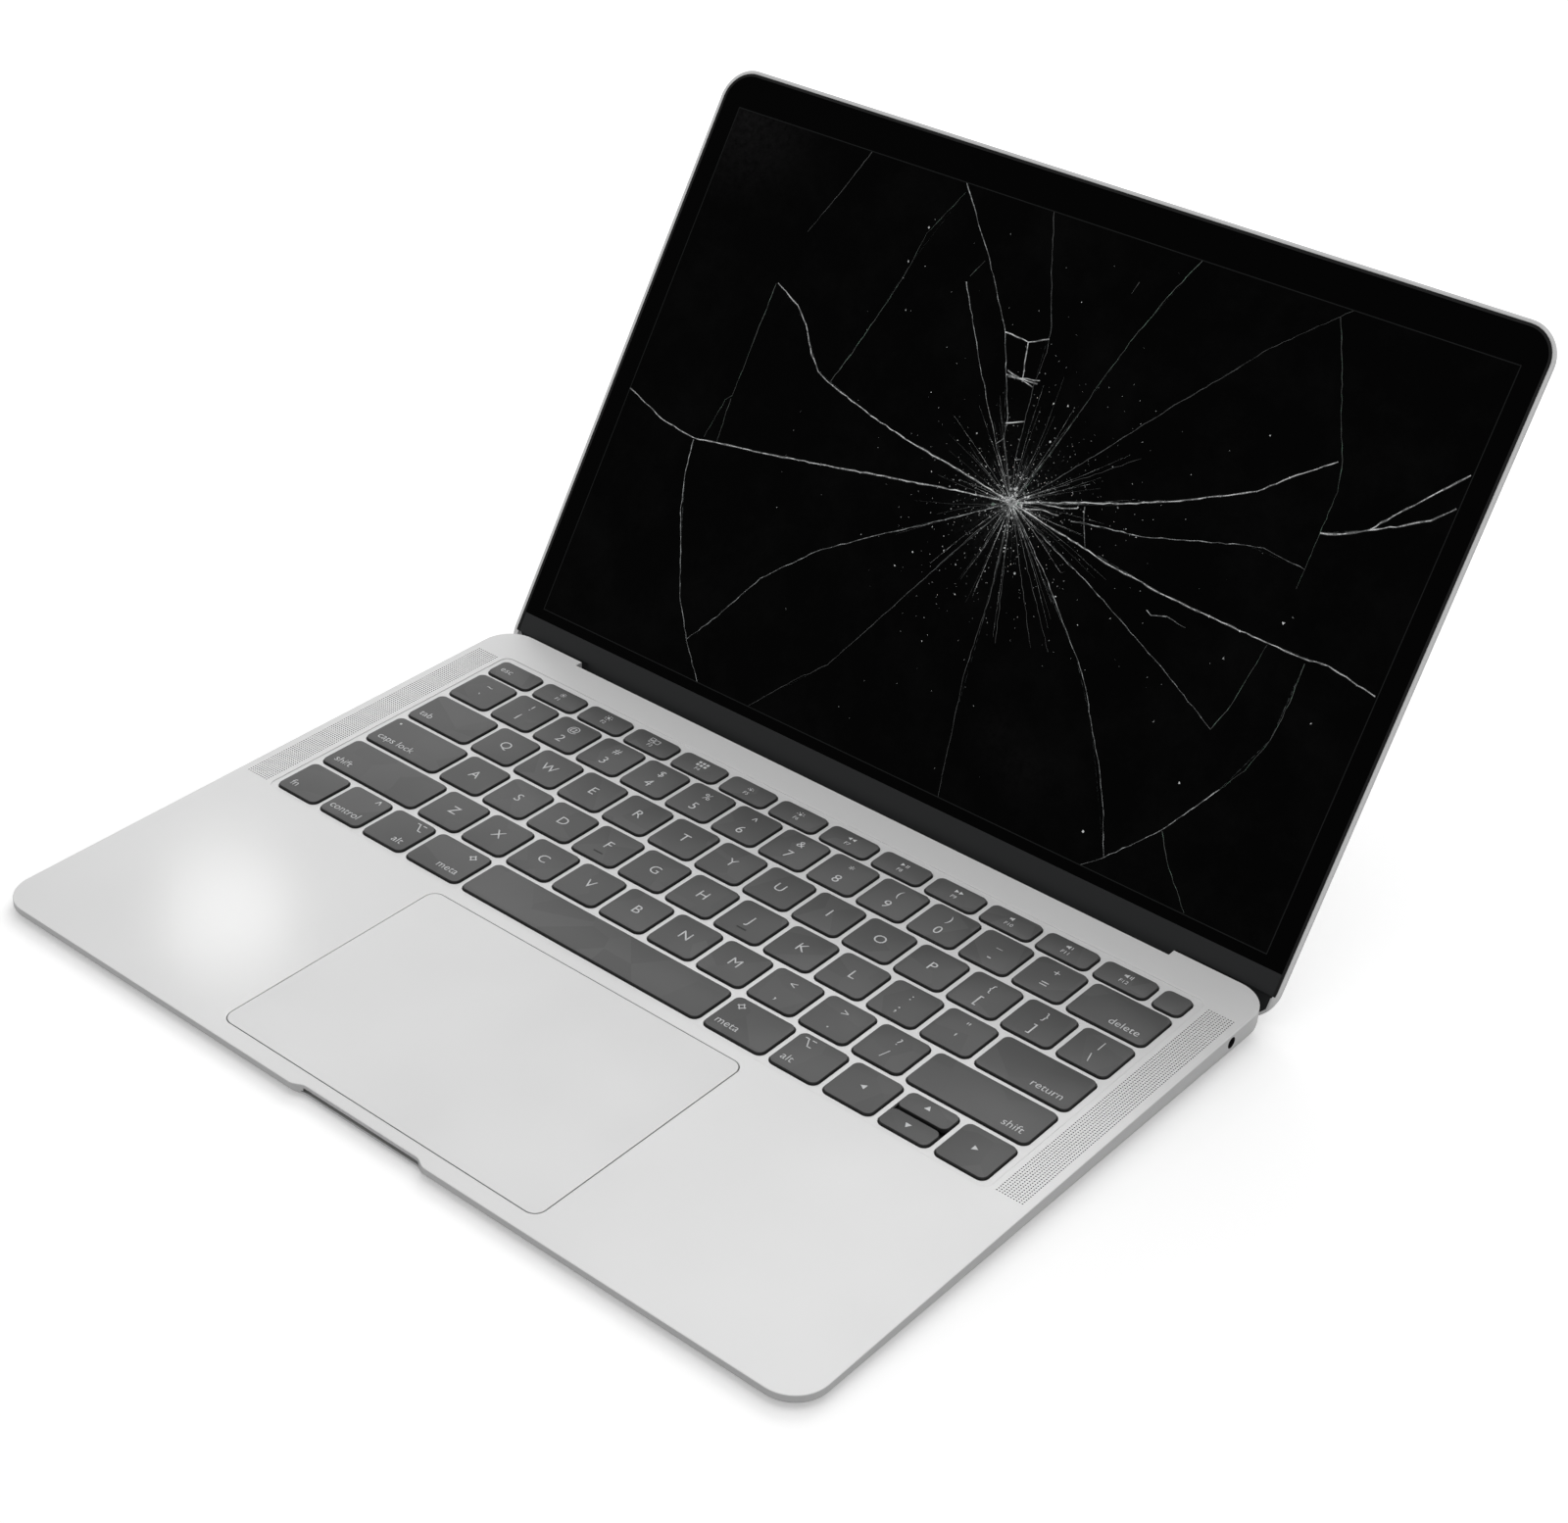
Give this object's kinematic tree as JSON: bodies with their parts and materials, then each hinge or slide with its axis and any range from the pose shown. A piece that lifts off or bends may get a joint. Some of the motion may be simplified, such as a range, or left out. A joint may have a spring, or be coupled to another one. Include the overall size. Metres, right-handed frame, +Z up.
{
  "type": "laptop computer with a shattered display",
  "caption": "Thin wedge-shaped aluminium laptop, lid open, keyboard and trackpad whole, display glass shattered from one point of impact.",
  "frame": {"origin": "on the plane that the four feet stand on, under the centre of the case's outline", "axes": "+X to the user's right, +Y from the user towards the hinge and the lid, +Z up"},
  "size_m": [0.3042, 0.32, 0.1846],
  "materials": {
    "anodised_aluminium": "bead-blasted, clear anodised",
    "trackpad_glass": "etched, painted on the back",
    "key_cap_abs": "fine matt",
    "cover_glass": "polished, black behind, shattered",
    "panel": "dark polarising film",
    "chin_plastic": "fine matt",
    "black_plastic": "moulded, matt",
    "rubber": "matt",
    "steel": "stamped",
    "wing_nylon": "moulded",
    "light_film": "printed film",
    "circuit_board": "solder mask",
    "heat_spreader": "rolled",
    "cell_wrap": "foil pouch",
    "flex_cable": "polyimide strip"
  },
  "bodies": {
    "base": {"top_case": "anodised_aluminium", "bottom_cover": "anodised_aluminium", "bottom_screws": "steel", "rubber_feet": "rubber", "keyboard_plate": "steel", "key_hinges": "wing_nylon", "key_light_sheet": "light_film", "trackpad_bracket": "steel", "trackpad_cable": "flex_cable", "logic_board": "circuit_board", "heat_sink": "heat_spreader", "fan_housing": "black_plastic", "battery_tray": "black_plastic", "battery_cells": "cell_wrap", "speaker_left": "black_plastic", "speaker_right": "black_plastic", "port_board": "circuit_board", "charging_sockets": "steel", "headphone_socket": "black_plastic", "inner_screws": "steel", "hinge_bracket_left": "steel", "hinge_bracket_right": "steel", "hinge_cable": "flex_cable"},
    "lid": {"hinge_arm_left": "steel", "hinge_arm_right": "steel", "lid_screws": "steel", "hinge_cover": "black_plastic", "lid_shell": "anodised_aluminium", "display_panel": "panel", "cover_glass": "cover_glass", "lid_gasket": "rubber", "chin_strip": "chin_plastic", "camera_module": "circuit_board", "display_cable": "flex_cable"},
    "trackpad": {"trackpad": "trackpad_glass"},
    "fan": {"fan_impeller": "black_plastic"},
    "key_escape": {"key_escape": "key_cap_abs"},
    "key_power": {"key_power": "key_cap_abs"},
    "key_delete": {"key_delete": "key_cap_abs"},
    "key_tab": {"key_tab": "key_cap_abs"},
    "key_caps_lock": {"key_caps_lock": "key_cap_abs"},
    "key_return": {"key_return": "key_cap_abs"},
    "key_shift_left": {"key_shift_left": "key_cap_abs"},
    "key_shift_right": {"key_shift_right": "key_cap_abs"},
    "key_fn": {"key_fn": "key_cap_abs"},
    "key_control": {"key_control": "key_cap_abs"},
    "key_alt_left": {"key_alt_left": "key_cap_abs"},
    "key_meta_left": {"key_meta_left": "key_cap_abs"},
    "key_space": {"key_space": "key_cap_abs"},
    "key_meta_right": {"key_meta_right": "key_cap_abs"},
    "key_alt_right": {"key_alt_right": "key_cap_abs"},
    "key_arrow_left": {"key_arrow_left": "key_cap_abs"},
    "key_arrow_up": {"key_arrow_up": "key_cap_abs"},
    "key_arrow_down": {"key_arrow_down": "key_cap_abs"},
    "key_arrow_right": {"key_arrow_right": "key_cap_abs"},
    "keys_function_row": {"keys_function_row": "key_cap_abs"},
    "keys_number_row": {"keys_number_row": "key_cap_abs"},
    "keys_top_row": {"keys_top_row": "key_cap_abs"},
    "keys_home_row": {"keys_home_row": "key_cap_abs"},
    "keys_bottom_row": {"keys_bottom_row": "key_cap_abs"}
  },
  "joints": [
    {"name": "lid_hinge", "type": "hinge", "parent": "base", "child": "lid", "pos_m": [0, 0.10207, 0.00737], "axis": [-1, 0, 0], "range_deg": [-122.2, 7.8]},
    {"name": "fan_spin", "type": "hinge", "parent": "base", "child": "fan", "pos_m": [0.07281, 0.0698, 0.004], "axis": [0, 0, 1], "continuous": true},
    {"name": "trackpad_press", "type": "slide", "parent": "base", "child": "trackpad", "axis": [0, -0.0315, 0.9995], "range_m": [-0.00015, 0], "stiffness_N_per_m": 12000},
    {"name": "key_escape_press", "type": "slide", "parent": "base", "child": "key_escape", "axis": [0, -0.0315, 0.9995], "range_m": [-0.0005, 0], "stiffness_N_per_m": 1200},
    {"name": "key_power_press", "type": "slide", "parent": "base", "child": "key_power", "axis": [0, -0.0315, 0.9995], "range_m": [-0.0005, 0], "stiffness_N_per_m": 1200},
    {"name": "key_delete_press", "type": "slide", "parent": "base", "child": "key_delete", "axis": [0, -0.0315, 0.9995], "range_m": [-0.0005, 0], "stiffness_N_per_m": 1200},
    {"name": "key_tab_press", "type": "slide", "parent": "base", "child": "key_tab", "axis": [0, -0.0315, 0.9995], "range_m": [-0.0005, 0], "stiffness_N_per_m": 1200},
    {"name": "key_caps_lock_press", "type": "slide", "parent": "base", "child": "key_caps_lock", "axis": [0, -0.0315, 0.9995], "range_m": [-0.0005, 0], "stiffness_N_per_m": 1200},
    {"name": "key_return_press", "type": "slide", "parent": "base", "child": "key_return", "axis": [0, -0.0315, 0.9995], "range_m": [-0.0005, 0], "stiffness_N_per_m": 1200},
    {"name": "key_shift_left_press", "type": "slide", "parent": "base", "child": "key_shift_left", "axis": [0, -0.0315, 0.9995], "range_m": [-0.0005, 0], "stiffness_N_per_m": 1200},
    {"name": "key_shift_right_press", "type": "slide", "parent": "base", "child": "key_shift_right", "axis": [0, -0.0315, 0.9995], "range_m": [-0.0005, 0], "stiffness_N_per_m": 1200},
    {"name": "key_fn_press", "type": "slide", "parent": "base", "child": "key_fn", "axis": [0, -0.0315, 0.9995], "range_m": [-0.0005, 0], "stiffness_N_per_m": 1200},
    {"name": "key_control_press", "type": "slide", "parent": "base", "child": "key_control", "axis": [0, -0.0315, 0.9995], "range_m": [-0.0005, 0], "stiffness_N_per_m": 1200},
    {"name": "key_alt_left_press", "type": "slide", "parent": "base", "child": "key_alt_left", "axis": [0, -0.0315, 0.9995], "range_m": [-0.0005, 0], "stiffness_N_per_m": 1200},
    {"name": "key_meta_left_press", "type": "slide", "parent": "base", "child": "key_meta_left", "axis": [0, -0.0315, 0.9995], "range_m": [-0.0005, 0], "stiffness_N_per_m": 1200},
    {"name": "key_space_press", "type": "slide", "parent": "base", "child": "key_space", "axis": [0, -0.0315, 0.9995], "range_m": [-0.0005, 0], "stiffness_N_per_m": 1200},
    {"name": "key_meta_right_press", "type": "slide", "parent": "base", "child": "key_meta_right", "axis": [0, -0.0315, 0.9995], "range_m": [-0.0005, 0], "stiffness_N_per_m": 1200},
    {"name": "key_alt_right_press", "type": "slide", "parent": "base", "child": "key_alt_right", "axis": [0, -0.0315, 0.9995], "range_m": [-0.0005, 0], "stiffness_N_per_m": 1200},
    {"name": "key_arrow_left_press", "type": "slide", "parent": "base", "child": "key_arrow_left", "axis": [0, -0.0315, 0.9995], "range_m": [-0.0005, 0], "stiffness_N_per_m": 1200},
    {"name": "key_arrow_up_press", "type": "slide", "parent": "base", "child": "key_arrow_up", "axis": [0, -0.0315, 0.9995], "range_m": [-0.0005, 0], "stiffness_N_per_m": 1200},
    {"name": "key_arrow_down_press", "type": "slide", "parent": "base", "child": "key_arrow_down", "axis": [0, -0.0315, 0.9995], "range_m": [-0.0005, 0], "stiffness_N_per_m": 1200},
    {"name": "key_arrow_right_press", "type": "slide", "parent": "base", "child": "key_arrow_right", "axis": [0, -0.0315, 0.9995], "range_m": [-0.0005, 0], "stiffness_N_per_m": 1200},
    {"name": "keys_function_row_press", "type": "slide", "parent": "base", "child": "keys_function_row", "axis": [0, -0.0315, 0.9995], "range_m": [-0.0005, 0], "stiffness_N_per_m": 14400},
    {"name": "keys_number_row_press", "type": "slide", "parent": "base", "child": "keys_number_row", "axis": [0, -0.0315, 0.9995], "range_m": [-0.0005, 0], "stiffness_N_per_m": 15600},
    {"name": "keys_top_row_press", "type": "slide", "parent": "base", "child": "keys_top_row", "axis": [0, -0.0315, 0.9995], "range_m": [-0.0005, 0], "stiffness_N_per_m": 15600},
    {"name": "keys_home_row_press", "type": "slide", "parent": "base", "child": "keys_home_row", "axis": [0, -0.0315, 0.9995], "range_m": [-0.0005, 0], "stiffness_N_per_m": 13200},
    {"name": "keys_bottom_row_press", "type": "slide", "parent": "base", "child": "keys_bottom_row", "axis": [0, -0.0315, 0.9995], "range_m": [-0.0005, 0], "stiffness_N_per_m": 12000}
  ]
}
